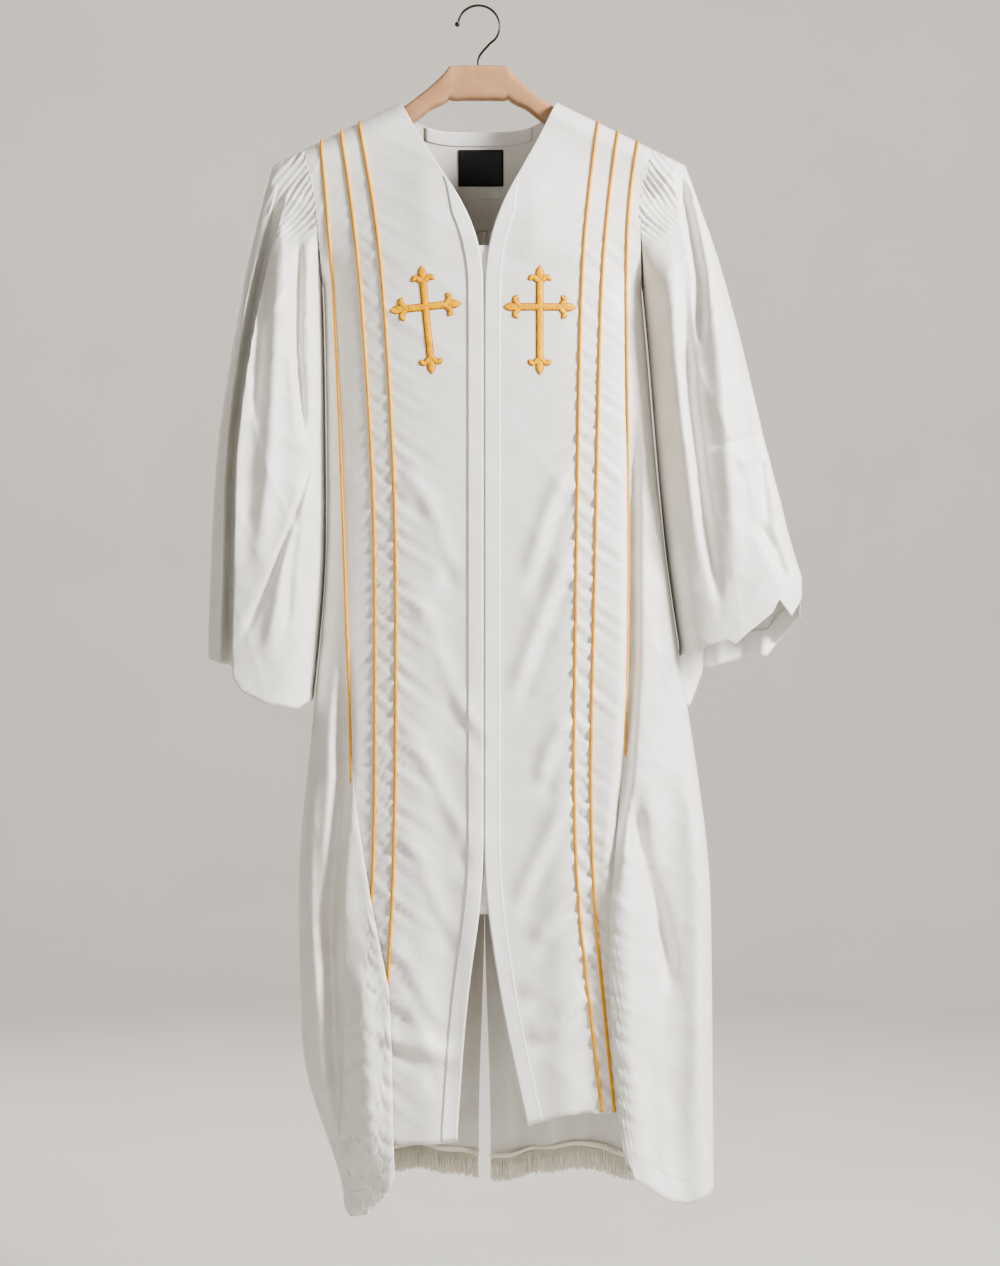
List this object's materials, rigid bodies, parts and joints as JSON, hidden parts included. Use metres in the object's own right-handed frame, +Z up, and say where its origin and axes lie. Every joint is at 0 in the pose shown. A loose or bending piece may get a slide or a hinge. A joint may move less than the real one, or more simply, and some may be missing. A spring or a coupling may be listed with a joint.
{
  "type": "pulpit robe on hanger",
  "caption": "White clergy robe with bell sleeves, gold-piped seams, two gold crosses and a fringed hem, hanging open-necked on a moulded hanger with a swivel hook.",
  "frame": {"origin": "inside of the hook's crown, where the rail carries it", "axes": "+Z up, +X to the viewer's right, the front of the robe faces -Y"},
  "size_m": [0.7192, 0.1531, 1.4523],
  "materials": {
    "robe_cloth": "satin",
    "gold_piping": "satin",
    "gold_embroidery": "satin",
    "cream_fringe": "matte",
    "label_cloth": "matte",
    "care_cloth": "matte",
    "zip_cloth": "matte",
    "zip_metal": "satin",
    "hook_steel": "satin",
    "hanger_plastic": "satin"
  },
  "bodies": {
    "hook": {"hook_wire_front": "hook_steel", "hook_wire_back": "hook_steel", "hook_tip_loop": "hook_steel"},
    "hanger_and_robe": {"front_panel_left": "robe_cloth", "inner_strip_left": "robe_cloth", "outer_strip_left": "robe_cloth", "side_panel_left": "robe_cloth", "back_panel_left": "robe_cloth", "fringe_braid_left": "cream_fringe", "brush_fringe_left": "cream_fringe", "piping_a_left": "gold_piping", "piping_b_left": "gold_piping", "piping_c_left": "gold_piping", "placket_left": "robe_cloth", "front_panel_right": "robe_cloth", "inner_strip_right": "robe_cloth", "outer_strip_right": "robe_cloth", "side_panel_right": "robe_cloth", "back_panel_right": "robe_cloth", "fringe_braid_right": "cream_fringe", "brush_fringe_right": "cream_fringe", "piping_a_right": "gold_piping", "piping_b_right": "gold_piping", "piping_c_right": "gold_piping", "placket_right": "robe_cloth", "back_yoke": "robe_cloth", "neck_facing": "robe_cloth", "woven_label": "label_cloth", "care_label": "care_cloth", "sleeve_front_left": "robe_cloth", "sleeve_hem_front_left": "robe_cloth", "sleeve_back_left": "robe_cloth", "sleeve_hem_back_left": "robe_cloth", "sleeve_front_right": "robe_cloth", "sleeve_hem_front_right": "robe_cloth", "sleeve_back_right": "robe_cloth", "sleeve_hem_back_right": "robe_cloth", "cross_left": "gold_embroidery", "cross_right": "gold_embroidery", "hanger_arm_left": "hanger_plastic", "hanger_arm_right": "hanger_plastic", "hanger_block": "hanger_plastic", "hook_bushing": "hook_steel", "zip_chain_left": "zip_metal", "zip_tape_left": "zip_cloth", "zip_chain_right": "zip_metal", "zip_tape_right": "zip_cloth", "zip_bottom_stop": "zip_metal"},
    "zipper_slider": {"zip_slider": "zip_metal"},
    "zipper_pull": {"zip_pull": "zip_metal"}
  },
  "joints": [
    {"name": "hook_swivel", "type": "hinge", "parent": "hook", "child": "hanger_and_robe", "pos_m": [0, 0, -0.072], "axis": [0, 0, 1], "continuous": true},
    {"name": "zipper_slide", "type": "slide", "parent": "hanger_and_robe", "child": "zipper_slider", "axis": [0, 0, -1], "range_m": [0, 0.76]},
    {"name": "zipper_pull", "type": "hinge", "parent": "zipper_slider", "child": "zipper_pull", "pos_m": [0.007, -0.0656, -0.308], "axis": [1, 0, 0], "range_deg": [-5, 0]}
  ]
}
